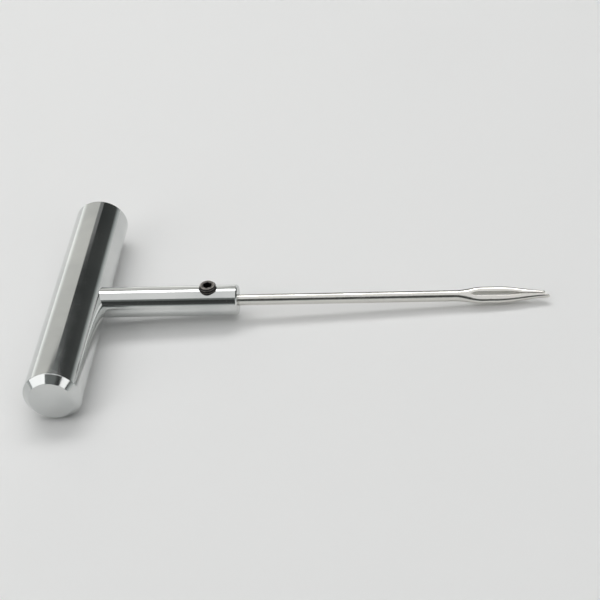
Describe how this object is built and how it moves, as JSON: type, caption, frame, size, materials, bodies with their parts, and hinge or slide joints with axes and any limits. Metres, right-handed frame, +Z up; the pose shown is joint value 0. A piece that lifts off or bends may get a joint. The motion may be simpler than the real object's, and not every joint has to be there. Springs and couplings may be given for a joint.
{
  "type": "tyre plug insertion tool",
  "caption": "T handle with a cross grip bar and a stem whose set screw clamps a replaceable split-eye needle, for pushing repair strips into a tyre.",
  "frame": {"origin": "on the surface that the tool lies on, under the middle of its outline", "axes": "+X from the grip bar towards the needle's tip, +Y along the grip bar, +Z up through the set screw; the needle's axis is tipped 2.41 degrees down from +X, as the tool lies on its bar"},
  "size_m": [0.1778, 0.104, 0.02],
  "materials": {
    "handle_chrome": "bright chrome plate over turned steel",
    "black_oxide_steel": "satin black oxide on alloy steel",
    "nickel_plated_steel": "bright drawn and nickel-plated steel"
  },
  "bodies": {
    "handle": {"grip_bar": "handle_chrome", "stem": "handle_chrome"},
    "set_screw": {"set_screw": "black_oxide_steel"},
    "needle": {"needle": "nickel_plated_steel"}
  },
  "joints": [
    {"name": "set_screw_travel", "type": "slide", "parent": "handle", "child": "set_screw", "axis": [0.0421, 0, 0.9991], "range_m": [0, 0.0025]},
    {"name": "needle_draw", "type": "slide", "parent": "handle", "child": "needle", "axis": [0.9991, 0, -0.0421], "range_m": [0, 0.024]}
  ]
}
